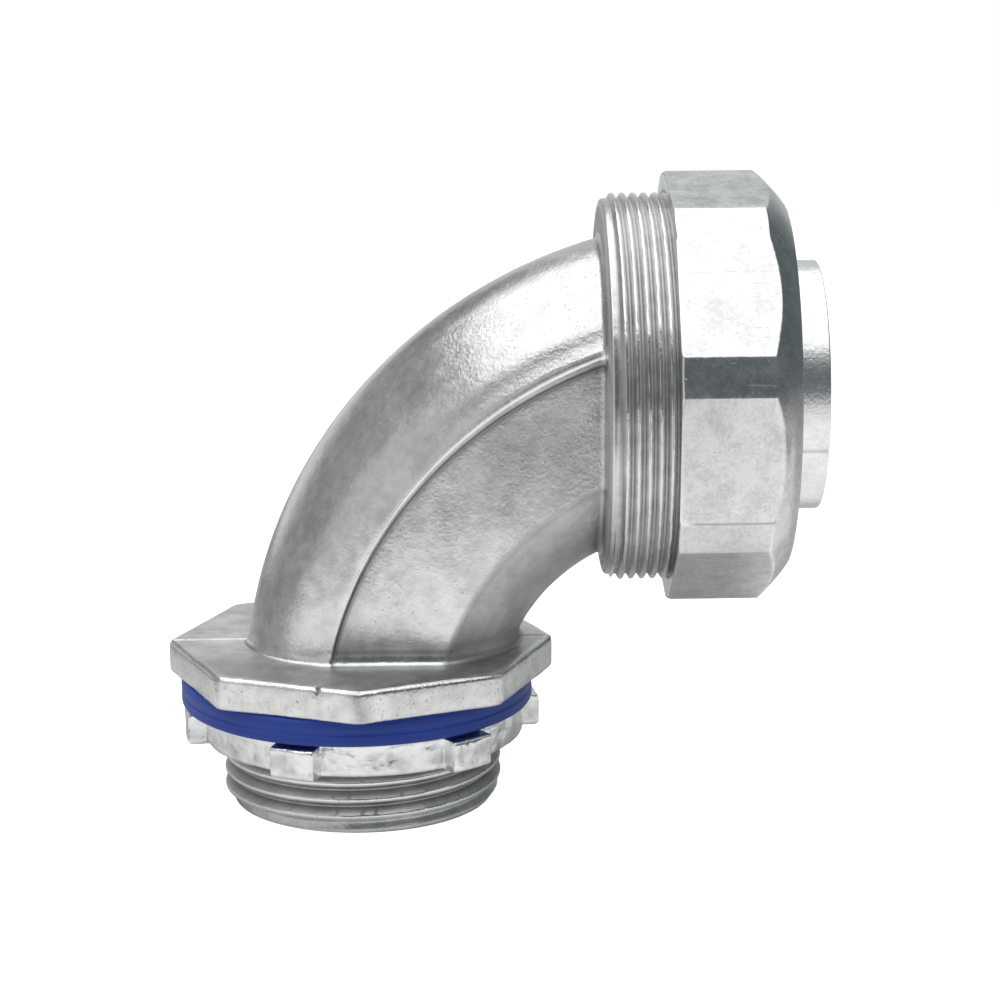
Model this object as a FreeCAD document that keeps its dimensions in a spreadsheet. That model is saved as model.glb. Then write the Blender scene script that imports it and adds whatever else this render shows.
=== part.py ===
import FreeCAD, Part
import math
import os
import re
import Sketcher

from FreeCAD import Placement, Rotation, Vector

# A 90 degree liquidtight conduit connector, 1-1/4 trade size, in millimetres.
# The hub axis is Z, with the flange's sealing face at Z = 0.
# The gland axis runs along +X at axis_height above that face.
# Threads are plain cylinders at their major radius.

sizes = {
    "hub_thread_radius": 20.86,
    "hub_length": 19.2,
    "hub_lead_depth": 1.46,
    "hub_lead_height": 2.0,
    "hub_wall": 3.86,
    "hub_bore_depth": 13.2,
    "flange_reach": 8.14,
    "flange_thickness": 5.0,
    "flange_corner_round": 2.2,
    "flange_edge_round": 0.6,
    # The bend is drawn on planes that turn about one line, the pivot, beyond its inner side.
    "bend_radius": 47.5,
    "pivot_drop": 5.9,
    "axis_rise": 1.4,
    "foot_front": 20.9,
    "foot_back": 17.8,
    "foot_overlap": 1.6,
    "inner_growth": 0.6,
    "outer_growth": 3.5,
    "outer_late_growth": 3.0,
    "belly_depth": 9.7,
    "belly_growth": 3.1,
    "tube_depth": 12.4,
    "tube_growth": 3.5,
    "tube_late_shrink": 2.6,
    "panel_half_width": 14.9,
    "panel_flare": 3.9,
    "panel_step": 0.15,
    "panel_step_growth": 2.4,
    "panel_foot_round": 2.8,
    "panel_foot_sink": 0.12,
    "panel_foot_depth": 1.2,
    "panel_foot_setback": 0.5,
    "inner_wall": 4.2,
    "outer_wall": 3.2,
    "panel_wall": 2.3,
    "collar_back": 12.3,
    "collar_overlap": 2.3,
    "collar_drop": 2.4,
    "collar_slope": 1.1,
    "collar_land": 1.0,
    "boss_wall": 3.9,
    "boss_thread_depth": 0.85,
    "boss_length": 16.2,
    "boss_lead": 0.8,
    "boss_bore_step": 0.2,
    "socket_depth": 6.0,
    "nut_engagement": 5.8,
    "nut_wall": 1.75,
    "nut_narrow_step": 1.3,
    "nut_clocking": 12.7,
    "nut_side_count": 8,
    "nut_shoulder_step": 0.2,
    "nut_shoulder_length": 4.3,
    "nut_brow_wall": 6.5,
    "nut_brow_length": 1.1,
    "nut_face_wall": 5.0,
    "nut_thread_length": 9.0,
    "nut_relief_step": 1.5,
    "nut_relief_length": 3.0,
    "nut_seat_length": 3.7,
    "nut_mouth_room": 0.5,
    "nut_lip": 1.6,
    "thread_clearance": 0.06,
    "ring_land": 2.8,
    "ring_front_gap": 1.5,
    "ring_clearance": 0.3,
    "sleeve_radius": 18.4,
    "sleeve_wall": 1.3,
    "sleeve_length": 22.55,
    "sleeve_chamfer": 0.4,
    "conduit_wall": 3.0,
    "cup_room": 1.4,
    "cup_wall": 1.5,
    "cup_clearance": 0.3,
    "gasket_reach": 5.54,
    "gasket_looseness": 0.89,
    "gasket_contact_gap": 0.19,
    "gasket_thickness": 4.03,
    "gasket_groove": 0.35,
    "gasket_bevel": 0.5,
    "locknut_thickness": 5.2,
    "locknut_rim_wall": 3.34,
    "locknut_lug_length": 2.6,
    "locknut_lug_width": 6.8,
    "locknut_lug_drop": 1.2,
    "locknut_lug_count": 6,
    "locknut_clocking": 21.5,
    "cut_overhang": 1.0,
}

# Sizes that follow from those, as expressions of them.
axis_height = "(bend_radius - pivot_drop + axis_rise)"
hub_bore_radius = "(hub_thread_radius - hub_wall)"
flange_corner_radius = "(hub_thread_radius + flange_reach)"
inner_reach = "(bend_radius - foot_front)"
outer_reach = "(bend_radius + foot_back)"
ring_bore_radius = "(sleeve_radius + conduit_wall)"
cup_bore_radius = f"({ring_bore_radius} + cup_room)"
cup_radius = f"({cup_bore_radius} + cup_wall)"
socket_radius = f"({cup_radius} + cup_clearance)"
boss_bore_radius = "(sleeve_radius - sleeve_wall + boss_bore_step)"
boss_radius = f"({socket_radius} + boss_wall)"
boss_root_radius = f"({boss_radius} - boss_thread_depth)"
collar_start = "(bend_radius - collar_back)"
boss_end = f"({collar_start} + boss_length)"
socket_floor = f"({boss_end} - socket_depth)"
nut_start = f"({boss_end} - nut_engagement)"
nut_bore_radius = f"({boss_radius} + thread_clearance)"
nut_wide_apothem = f"({boss_radius} + nut_wall)"
nut_narrow_apothem = f"({nut_wide_apothem} + nut_narrow_step)"
nut_shoulder_radius = f"({nut_narrow_apothem} + nut_shoulder_step)"
nut_relief_radius = f"({boss_radius} - nut_relief_step)"
nut_mouth_radius = f"({ring_bore_radius} + nut_mouth_room)"
nut_seat_start = "(nut_thread_length + nut_relief_length)"
nut_seat_end = f"({nut_seat_start} + nut_seat_length)"
nut_length = f"({nut_seat_end} + nut_lip)"
ring_radius = f"({nut_relief_radius} - ring_clearance)"
ring_start = f"({nut_start} + {nut_seat_start} - ring_land)"
ring_cone_length = "(nut_seat_length - ring_front_gap)"
seat_slope = f"(({nut_relief_radius} - {nut_mouth_radius}) / nut_seat_length)"
gasket_radius = "(hub_thread_radius + gasket_reach)"
gasket_bore_radius = "(hub_thread_radius + gasket_looseness)"
gasket_offset = "(gasket_looseness - gasket_contact_gap)"
locknut_base = "(-gasket_thickness - locknut_thickness)"
locknut_bore_radius = "(hub_thread_radius + thread_clearance)"
locknut_rim_radius = "(hub_thread_radius + locknut_rim_wall)"
locknut_lug_radius = f"({locknut_rim_radius} + locknut_lug_length)"

# The bend has this many sections, and its sizes grow from low_turn, where they are
# as named above, to high_turn, where their whole growths are added; turns are in degrees.
section_count = 6
low_turn = 10.0
high_turn = 80.0
# The passage's oval sections start and stop this many degrees short of the bend's own.
passage_lead_turn = 8.0
passage_tail_turn = 12.0
passage_count = 5
flange_sides = 8
arc_steps = 10
tiny = 1e-4

doc = FreeCAD.newDocument("conduit_connector")
sheet = doc.addObject("Spreadsheet::Sheet", "Sizes")
for row, (alias, number) in enumerate(sizes.items(), start=1):
    sheet.set("A%d" % row, alias)
    sheet.set("B%d" % row, str(number))
    sheet.setAlias("B%d" % row, alias)
doc.recompute()


def cells(text):
    # every alias has an underscore, and becomes a reference to its cell
    return re.sub(r"\b[a-z]+(?:_[a-z]+)+\b", r"Sizes.\g<0>", text)


def worth(text):
    return float(sheet.evalExpression(cells(text)))


def bind(item, **texts):
    for name, text in texts.items():
        item.setExpression(name, cells(text))
    return item


def outline(body, role, corners):
    # a closed outline on one of the body's own planes, each corner held by two expressions
    sketch = body.newObject("Sketcher::SketchObject", body.Name + "_outline")
    plane = [item for item in body.Origin.OriginFeatures if item.Role == role][0]
    sketch.AttachmentSupport = (plane, "")
    sketch.MapMode = "FlatFace"
    spots = [Vector(worth(across), worth(along), 0) for across, along in corners]
    count = len(corners)
    for index in range(count):
        sketch.addGeometry(Part.LineSegment(spots[index], spots[(index + 1) % count]), False)
    for index in range(count):
        sketch.addConstraint(Sketcher.Constraint("Coincident", index, 2, (index + 1) % count, 1))
    for index, (across, along) in enumerate(corners):
        for kind, text in (("DistanceX", across), ("DistanceY", along)):
            place = sketch.addConstraint(Sketcher.Constraint(kind, -1, 1, index, 1, worth(text)))
            label = "%s%d" % (kind, index)
            sketch.renameConstraint(place, label)
            sketch.setExpression("Constraints." + label, cells(text))
    return sketch


def turned(name, corners):
    # a solid of revolution about its own Z axis, from corners of radius and height
    body = doc.addObject("PartDesign::Body", name)
    turn = body.newObject("PartDesign::Revolution", name + "_turn")
    turn.Profile = outline(body, "XZ_Plane", corners)
    turn.ReferenceAxis = (turn.Profile[0], ["V_Axis"])
    turn.Angle = 360.0
    return body


def joined(name, *items):
    fuse = doc.addObject("Part::MultiFuse", name)
    fuse.Shapes = items
    return fuse


def shared(name, *items):
    both = doc.addObject("Part::MultiCommon", name)
    both.Shapes = items
    return both


def cut(name, base, tool):
    rest = doc.addObject("Part::Cut", name)
    rest.Base = base
    rest.Tool = tool
    return rest


def cylinder(name, radius, height, base="0"):
    rod = bind(doc.addObject("Part::Cylinder", name), Radius=radius, Height=height)
    rod.setExpression(".Placement.Base.z", cells(base))
    return rod


def along_gland(item, start, spin="0"):
    # the item's own Z axis laid along +X, its own origin at this distance from the hub axis
    item.Placement = Placement(Vector(0, 0, 0), Rotation(Vector(0, 1, 0), 90))
    item.setExpression(".Placement.Base.x", cells(start))
    item.setExpression(".Placement.Base.z", cells(axis_height))
    if spin != "0":
        item.Placement.Rotation = Rotation(Vector(0, 1, 0), 90) * Rotation(Vector(0, 0, 1), worth(spin))
    return item


def growth(turn):
    return (turn - low_turn) / (high_turn - low_turn)


def bend_point(turn, reach, side):
    # a point on the plane at this turn, this far from the pivot
    lean = math.radians(turn)
    across = worth("bend_radius") - reach * math.cos(lean)
    return Vector(across, side, reach * math.sin(lean) - worth("pivot_drop"))


def bend_limits(turn):
    # the reach of the bend's inner and outer sides and of the panel's two edges
    grown = growth(turn)
    inner = worth(inner_reach) + worth("inner_growth") * grown
    outer = worth(outer_reach) + worth("outer_growth") * grown + worth("outer_late_growth") * grown ** 2
    belly = worth("belly_depth") + worth("belly_growth") * grown ** 2
    tube = worth("tube_depth") + worth("tube_growth") * grown - worth("tube_late_shrink") * grown ** 2
    return inner, outer, inner + belly, outer - tube


def panel_side(turn):
    return worth("panel_half_width") + worth("panel_flare") * growth(turn)


def turn_at_flange(reach):
    # the turn at which this reach comes up through the flange's top
    return math.degrees(math.asin(worth("pivot_drop + flange_thickness") / reach))


def panel_foot(side):
    # a bar along the foot of one panel, just short of its edges, with a hollow round in its outer face
    low, high = bend_limits(low_turn)[2:]
    low_lean = turn_at_flange(low)
    high_lean = turn_at_flange(high)
    start = bend_point(high_lean, high, side * panel_side(high_lean))
    run = bend_point(low_lean, low, side * panel_side(low_lean)) - start
    upward = Vector(0, 0, 1)
    outward = upward.cross(run).normalize() * side
    setback = run * (worth("panel_foot_setback") / run.Length)
    start = start + setback
    run = run - 2 * setback
    reach = worth("panel_foot_round - panel_foot_sink")
    depth = worth("panel_foot_depth")
    inner = start - outward * depth
    outer = start + outward * reach
    corners = [inner - upward * depth, outer - upward * depth, outer + upward * reach, inner + upward * reach]
    bar = Part.Face(Part.makePolygon(corners + corners[:1])).extrude(run)
    centre = outer + upward * reach - run / 2.0
    return bar.cut(Part.makeCylinder(worth("panel_foot_round"), 2.0 * run.Length, centre, run))


def tip_arc(turn, middle, half, edge, side):
    # part of an ellipse about the section's middle, round its tip, from the edge at +side to the one at -side
    cosine = (edge - middle) / half
    width = side / math.sqrt(1.0 - cosine ** 2)
    start = math.acos(cosine)
    sweep = -2.0 * start if cosine > 0 else 2.0 * (math.pi - start)
    points = []
    for index in range(arc_steps + 1):
        angle = start + sweep * index / arc_steps
        points.append(bend_point(turn, middle + half * math.cos(angle), width * math.sin(angle)))
    return points


def smooth_edge(points):
    curve = Part.BSplineCurve()
    curve.interpolate(points)
    return curve.toShape()


def bend_section(turn):
    # a round outer side that stands proud of a flat panel, and a round inner side that meets it in an edge
    inner, outer, panel_inner, panel_outer = bend_limits(turn)
    middle = (inner + outer) / 2.0
    half = (outer - inner) / 2.0
    panel = panel_side(turn)
    proud = panel + worth("panel_step") + worth("panel_step_growth") * growth(turn)
    outer_arc = tip_arc(turn, middle, half, panel_outer, proud)
    inner_arc = tip_arc(turn, middle, half, panel_inner, panel)[::-1]
    low_corner = bend_point(turn, panel_outer, -panel)
    high_corner = bend_point(turn, panel_outer, panel)
    return Part.Wire([
        smooth_edge(outer_arc),
        Part.makeLine(outer_arc[-1], low_corner),
        Part.makeLine(low_corner, inner_arc[0]),
        smooth_edge(inner_arc),
        Part.makeLine(inner_arc[-1], high_corner),
        Part.makeLine(high_corner, outer_arc[0]),
    ])


def oval(centre, long_tip, side):
    # a closed oval wire, one tip at long_tip and the ones across it this far to each side
    return Part.Wire([Part.Ellipse(long_tip, centre + Vector(0, side, 0), centre).toShape()])


def passage_section(turn):
    inner, outer = bend_limits(turn)[:2]
    inner += worth("inner_wall")
    outer -= worth("outer_wall")
    centre = bend_point(turn, (inner + outer) / 2.0, 0)
    return oval(centre, bend_point(turn, outer, 0), panel_side(turn) - worth("panel_wall"))


def round_section(centre, towards, radius):
    # a hair longer towards one side, so that its seam lies there as on the ovals
    return oval(centre, centre + towards * (radius + tiny), radius)


def evenly(first, last, count):
    return [first + (last - first) * step / (count - 1) for step in range(count)]


def shaped(name, shape):
    item = doc.addObject("Part::Feature", name)
    item.Shape = shape
    return item


# Elbow casting: threaded hub, octagonal flange, bend, collar and threaded gland boss in one piece.
hub = turned("hub", [
    ("0", "-hub_length"),
    ("hub_thread_radius - hub_lead_depth", "-hub_length"),
    ("hub_thread_radius", "hub_lead_height - hub_length"),
    ("hub_thread_radius", "flange_thickness / 2"),
    ("0", "flange_thickness / 2"),
])

flange = doc.addObject("PartDesign::Body", "flange")
flange_corners = []
for corner in range(flange_sides):
    angle = 360.0 * corner / flange_sides
    flange_corners.append((f"{flange_corner_radius} * cos({angle:g} deg)",
                           f"{flange_corner_radius} * sin({angle:g} deg)"))
flange_pad = flange.newObject("PartDesign::Pad", "flange_pad")
flange_pad.Profile = outline(flange, "XY_Plane", flange_corners)
bind(flange_pad, Length="flange_thickness")
doc.recompute()


def edges_where(shape, wanted):
    return ["Edge%d" % (index + 1) for index, edge in enumerate(shape.Edges) if wanted(edge)]


def rises(edge):
    return abs(edge.BoundBox.ZLength - worth("flange_thickness")) < tiny


def lies_flat(edge):
    return edge.BoundBox.ZLength < tiny


corner_rounds = flange.newObject("PartDesign::Fillet", "flange_corner_rounds")
corner_rounds.Base = (flange_pad, edges_where(flange_pad.Shape, rises))
bind(corner_rounds, Radius="flange_corner_round")
doc.recompute()
edge_rounds = flange.newObject("PartDesign::Fillet", "flange_edge_rounds")
edge_rounds.Base = (corner_rounds, edges_where(corner_rounds.Shape, lies_flat))
bind(edge_rounds, Radius="flange_edge_round")

first_rise = f"(pivot_drop + flange_thickness / 2 - foot_overlap) / {outer_reach}"
last_run = f"(collar_back - collar_overlap) / ({outer_reach} + outer_growth + outer_late_growth)"
first_turn = math.degrees(math.asin(worth(first_rise)))
last_turn = math.degrees(math.acos(worth(last_run)))
bend_sections = [bend_section(turn) for turn in evenly(first_turn, last_turn, section_count)]
bend = shaped("bend", Part.makeLoft(bend_sections, True, False))
below_flange = bind(doc.addObject("Part::Box", "below_flange"), Length="4 * bend_radius",
                    Width="4 * bend_radius", Height="flange_thickness / 2 + 2 * bend_radius")
bind(below_flange, **{
    ".Placement.Base.x": "-2 * bend_radius",
    ".Placement.Base.y": "-2 * bend_radius",
    ".Placement.Base.z": "-2 * bend_radius",
})
bend_above = cut("bend_above", bend, below_flange)

boss = along_gland(turned("boss", [
    ("0", "0"),
    (f"{boss_radius} - collar_drop", "0"),
    (boss_root_radius, "collar_slope"),
    (boss_root_radius, "collar_slope + collar_land"),
    (boss_radius, "collar_slope + collar_land + boss_thread_depth"),
    (boss_radius, "boss_length - boss_lead"),
    (f"{boss_radius} - boss_lead", "boss_length"),
    ("0", "boss_length"),
]), collar_start)

left_foot = shaped("left_panel_foot", panel_foot(-1))
right_foot = shaped("right_panel_foot", panel_foot(1))

casting = joined("casting", hub, flange, bend_above, boss, left_foot, right_foot)

hub_bore = cylinder("hub_bore", hub_bore_radius, "hub_bore_depth + cut_overhang",
                    "-hub_length - cut_overhang")
bore_top = Vector(0, 0, worth("hub_bore_depth - hub_length"))
boss_near = Vector(worth(socket_floor), 0, worth(axis_height))
passage_sections = [round_section(bore_top, Vector(-1, 0, 0), worth(hub_bore_radius))]
for turn in evenly(first_turn + passage_lead_turn, last_turn - passage_tail_turn, passage_count):
    passage_sections.append(passage_section(turn))
passage_sections.append(round_section(boss_near, Vector(0, 0, 1), worth(boss_bore_radius)))
passage = shaped("passage", Part.makeLoft(passage_sections, True, False))
socket = along_gland(turned("socket", [
    ("0", "0"),
    (socket_radius, "0"),
    (socket_radius, "socket_depth + cut_overhang"),
    ("0", "socket_depth + cut_overhang"),
]), socket_floor)
elbow = cut("elbow_body", casting, joined("openings", hub_bore, passage, socket))

# Gland nut: eight wide flats and eight narrow ones, a sloping shoulder, and a tapered seat inside.
wide_flats = doc.addObject("Part::Prism", "wide_flats")
narrow_flats = doc.addObject("Part::Prism", "narrow_flats")
for flats, apothem, spin in (
    (wide_flats, nut_wide_apothem, "-nut_clocking"),
    (narrow_flats, nut_narrow_apothem, "180 / nut_side_count - nut_clocking"),
):
    bind(flats, Polygon="nut_side_count", Circumradius=apothem + " / cos(180 deg / nut_side_count)",
         Height=nut_length)
    along_gland(flats, nut_start, spin)
shoulder = along_gland(turned("shoulder", [
    ("0", "0"),
    (nut_shoulder_radius, "0"),
    (nut_shoulder_radius, f"{nut_length} - nut_shoulder_length"),
    (f"{nut_mouth_radius} + nut_brow_wall", f"{nut_length} - nut_brow_length"),
    (f"{nut_mouth_radius} + nut_face_wall", nut_length),
    ("0", nut_length),
]), nut_start)
nut_bore = along_gland(turned("nut_bore", [
    ("0", "-cut_overhang"),
    (nut_bore_radius, "-cut_overhang"),
    (nut_bore_radius, "nut_thread_length"),
    (nut_relief_radius, "nut_thread_length"),
    (nut_relief_radius, nut_seat_start),
    (nut_mouth_radius, nut_seat_end),
    (nut_mouth_radius, f"{nut_length} + cut_overhang"),
    ("0", f"{nut_length} + cut_overhang"),
]), nut_start)
gland_nut = cut("gland_nut", shared("nut_outside", wide_flats, narrow_flats, shoulder), nut_bore)

# Compression ring: its cone lies along the nut's seat, and its bore grips the conduit.
compression_ring = along_gland(turned("compression_ring", [
    (ring_bore_radius, "0"),
    (ring_radius, "0"),
    (ring_radius, "ring_land"),
    (f"{ring_radius} - {ring_cone_length} * {seat_slope}", f"ring_land + {ring_cone_length}"),
    (ring_bore_radius, f"ring_land + {ring_cone_length}"),
]), ring_start)

# Ferrule: a cup that takes the conduit's cut end, and a sleeve that goes up its bore.
ferrule = along_gland(turned("ferrule", [
    ("sleeve_radius - sleeve_wall", "0"),
    (cup_radius, "0"),
    (cup_radius, "socket_depth - cup_clearance"),
    (cup_bore_radius, "socket_depth - cup_clearance"),
    (cup_bore_radius, "cup_wall"),
    ("sleeve_radius", "cup_wall"),
    ("sleeve_radius", "sleeve_length - sleeve_chamfer"),
    ("sleeve_radius - sleeve_chamfer", "sleeve_length"),
    ("sleeve_radius - sleeve_wall", "sleeve_length"),
]), socket_floor)

# Hub gasket: a soft ring with a groove round its rim, which hangs a little to one side.
hub_gasket = turned("hub_gasket", [
    (gasket_bore_radius, "-gasket_thickness"),
    (f"{gasket_radius} - gasket_bevel", "-gasket_thickness"),
    (gasket_radius, "gasket_bevel - gasket_thickness"),
    (gasket_radius, "-gasket_thickness / 2 - gasket_groove"),
    (f"{gasket_radius} - gasket_groove", "-gasket_thickness / 2"),
    (gasket_radius, "gasket_groove - gasket_thickness / 2"),
    (gasket_radius, "-gasket_bevel"),
    (f"{gasket_radius} - gasket_bevel", "0"),
    (gasket_bore_radius, "0"),
])
hub_gasket.setExpression(".Placement.Base.x", cells("-" + gasket_offset))

# Locknut: a ring with lugs round it, flush with its lower face and short of its upper one.
rim = cylinder("rim", locknut_rim_radius, "locknut_thickness", locknut_base)
lug_bars = []
for place in range(int(worth("locknut_lug_count"))):
    bar = bind(doc.addObject("Part::Box", "lug_bar_%d" % (place + 1)), Length="2 * " + locknut_lug_radius,
               Width="locknut_lug_width", Height="locknut_thickness - locknut_lug_drop")
    angle = math.radians(360.0 * place / worth("locknut_lug_count") - 90.0 - worth("locknut_clocking"))
    shift = worth("locknut_lug_width") / 2.0
    bar.Placement = Placement(Vector(shift * math.sin(angle), -shift * math.cos(angle), worth(locknut_base)),
                              Rotation(Vector(0, 0, 1), math.degrees(angle)))
    lug_bars.append(bar)
lug_reach = cylinder("lug_reach", locknut_lug_radius, "locknut_thickness", locknut_base)
lugs = shared("lugs", joined("lug_star", *lug_bars), lug_reach)
locknut_bore = cylinder("locknut_bore", locknut_bore_radius, "locknut_thickness + 2 * cut_overhang",
                        locknut_base + " - cut_overhang")
locknut = cut("locknut", joined("locknut_outside", rim, lugs), locknut_bore)

nodes = {
    "elbow_body": elbow,
    "gland_nut": gland_nut,
    "compression_ring": compression_ring,
    "ferrule": ferrule,
    "hub_gasket": hub_gasket,
    "locknut": locknut,
}
doc.recompute()
for name, item in nodes.items():
    item.Label = name

failed = [item.Name for item in doc.Objects if "Invalid" in item.State or "Error" in item.State]
if failed:
    raise RuntimeError("failed objects: " + ", ".join(failed))
for name, item in nodes.items():
    if item.Shape.isNull() or not item.Shape.isValid() or len(item.Shape.Solids) != 1:
        raise RuntimeError(name + " is not one valid solid")

os.makedirs("parts", exist_ok=True)
for name, item in nodes.items():
    item.Shape.exportStep("parts/%s.step" % name)
    box = item.Shape.BoundBox
    print("%s volume %.0f x %.1f..%.1f y %.1f..%.1f z %.1f..%.1f" % (
        name, item.Shape.Volume, box.XMin, box.XMax, box.YMin, box.YMax, box.ZMin, box.ZMax))
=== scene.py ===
import math

import bpy
import numpy as np
from mathutils import Matrix, Vector


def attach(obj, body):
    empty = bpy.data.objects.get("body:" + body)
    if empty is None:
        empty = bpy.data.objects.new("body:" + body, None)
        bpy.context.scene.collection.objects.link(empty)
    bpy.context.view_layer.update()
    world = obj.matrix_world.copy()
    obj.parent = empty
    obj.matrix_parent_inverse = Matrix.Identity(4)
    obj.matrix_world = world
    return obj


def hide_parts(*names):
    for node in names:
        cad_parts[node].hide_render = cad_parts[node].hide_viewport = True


# A 90 degree liquidtight conduit connector: a zinc elbow with a threaded hub, a blue gasket and a
# lugged locknut below, and a gland nut, a grip ring and a steel ferrule at the other end.
# Lengths are millimetres until a mesh is made, and angles are degrees until a sine takes them.

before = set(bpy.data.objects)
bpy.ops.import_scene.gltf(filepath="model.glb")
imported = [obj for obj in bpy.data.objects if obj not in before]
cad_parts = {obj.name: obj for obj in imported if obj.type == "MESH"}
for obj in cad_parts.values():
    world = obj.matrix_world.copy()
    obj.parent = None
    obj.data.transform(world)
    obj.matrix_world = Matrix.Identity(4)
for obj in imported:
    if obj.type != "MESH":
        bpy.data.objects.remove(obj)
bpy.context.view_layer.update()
print("frame loaded, nodes:", ", ".join(sorted(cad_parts)))

metre = 0.001
scene = bpy.context.scene
surfaceKeys = ("wear", "grime", "rough", "matt")


def sinDeg(angle):
    return np.sin(np.radians(angle))


def cosDeg(angle):
    return np.cos(np.radians(angle))


def smooth(low, high, value):
    # 0 below low, 1 above high and an S curve between
    share = np.clip((value - low) / (high - low), 0.0, 1.0)
    return share * share * (3.0 - 2.0 * share)


def bump(value, middle, width):
    # a bell of height 1 about the middle
    return np.exp(-((value - middle) / width) ** 2)


def softLeast(values, softness):
    # the least of several arrays, with its corners rounded over about this length
    stack = np.stack(np.broadcast_arrays(*values))
    least = stack.min(axis=0)
    return least - softness * np.log(np.exp(-(stack - least) / softness).sum(axis=0))


def crowded(count, pull):
    # shares from 0 to just under 1, crowded towards both ends
    share = np.linspace(0.0, 1.0, count, endpoint=False)
    return share - pull * np.sin(2 * math.pi * share) / (2 * math.pi)


def unitOf(vectors):
    return vectors / np.linalg.norm(vectors, axis=-1, keepdims=True)


def bezier(start, corner, end, share):
    # a quadratic curve that leaves along start-corner and arrives along corner-end
    return (1 - share) ** 2 * start + 2 * share * (1 - share) * corner + share ** 2 * end


def roundedLine(corners, steps=4):
    # a polyline through corners of (along, radius, round), each corner a short curve;
    # returns rows of along, radius and how much of a corner each point is
    rows = []
    spots = [np.array(corner[:2], float) for corner in corners]
    last = len(corners) - 1
    for index, (along, radius, reach) in enumerate(corners):
        here = spots[index]
        if reach == 0 or index in (0, last):
            rows.append([along, radius, 0.0])
            continue
        arms = []
        for other in (spots[index - 1], spots[index + 1]):
            gap = np.linalg.norm(other - here)
            arms.append(here + (other - here) * min(reach / gap, 0.49))
        shares = np.linspace(0.0, 1.0, steps + 1)[:, None]
        curve = bezier(arms[0], here, arms[1], shares)
        worn = np.sin(math.pi * shares)
        rows.extend(np.hstack([curve, worn]).tolist())
    return np.array(rows)


def pointsAt(across, away, height):
    return np.stack(np.broadcast_arrays(across, away, height), -1)


def wound(along, radius, angle, axisName):
    # points at this angle round the hub's axis or the gland's, right handed about it
    if axisName == "hub":
        return pointsAt(radius * cosDeg(angle), radius * sinDeg(angle), along)
    return pointsAt(along, radius * cosDeg(angle), bend["axisHeight"] + radius * sinDeg(angle))


def turned(line, angle, axisName):
    # the points of a line of (along, radius, corner) rows carried round an axis
    return wound(line[:, 0:1], line[:, 1:2], angle, axisName)


def threadRows(low, high, angle, thread):
    # a right-handed thread from low to high along its axis. Its rows follow the helix: each pitch has the
    # crest with its two broken edges, the root and the middles between, moved by one pitch in each turn
    # and held within the two ends. Returns the distance along, the height from 0 at the roots to 1 on the
    # crests, and how far beyond the crest's middle a point is, as a share of the pitch.
    halfCrest = thread["crestShare"] / 2
    broken = halfCrest + thread["edgeShare"]
    halfRoot = 0.5 - thread["rootShare"] / 2
    edgeHeight = 1.0 - thread["edgeSlope"] * thread["edgeShare"] / (halfRoot - halfCrest)
    places = np.array([0.0, halfCrest, broken, halfRoot, 0.5, 1.0 - halfRoot, 1.0 - broken, 1.0 - halfCrest])
    heights = np.array([1.0, 1.0, edgeHeight, 0.0, 0.0, 0.0, edgeHeight, 1.0])
    first = math.floor(low / thread["pitch"]) - 2
    last = math.ceil(high / thread["pitch"]) + 2
    turns = (np.arange(first, last)[:, None] + places[None, :]).reshape(-1, 1)
    height = np.tile(heights, last - first)[:, None]
    along = (turns + 0.5 - thread["phase"] + angle / 360.0) * thread["pitch"]
    held = np.clip(along, low, high)
    # a row held at an end takes the thread's own height there
    beyond = (held / thread["pitch"] - angle / 360.0 + thread["phase"]) % 1.0 - 0.5
    atEnd = np.clip((halfRoot - np.abs(beyond)) / (halfRoot - halfCrest), 0.0, 1.0)
    return held, np.where(held != along, atEnd, height), beyond


def sheet(points, wear=0.0, grime=0.0, rough=0.0, matt=0.0, inward=False, closed=True):
    # a grid of points with its wear, its grime and painted shade, its pitted zones and its matt ones, each
    # from 0 to 1;
    # closed joins the last column to the first
    made = {"points": points, "inward": inward, "closed": closed}
    for key, value in zip(surfaceKeys, (wear, grime, rough, matt)):
        made[key] = np.broadcast_to(value, points.shape[:2])
    return made


def gridFaces(rows, columns, offset, closed):
    # quads between neighbouring rows and columns
    index = np.arange(rows * columns).reshape(rows, columns) + offset
    if closed:
        index = np.hstack([index, index[:, :1]])
    quads = [index[:-1, :-1], index[:-1, 1:], index[1:, 1:], index[1:, :-1]]
    return np.stack(quads, -1).reshape(-1, 4)


def stacked(parts, columns):
    # several runs of rows one below another, each widened to this many columns
    return np.concatenate([np.broadcast_to(part, (len(part), columns)) for part in parts])


def outwardShare(points):
    # a grid's normals, and how much each looks away from the middle of its own row
    around = np.roll(points, -1, axis=1) - np.roll(points, 1, axis=1)
    normals = np.cross(around, np.gradient(points, axis=0))
    middle = points.mean(axis=1, keepdims=True)
    return normals, (normals * (points - middle)).sum(-1, keepdims=True)


def placed(name, data):
    # a new object in the scene
    item = bpy.data.objects.new(name, data)
    scene.collection.objects.link(item)
    return item


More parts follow.
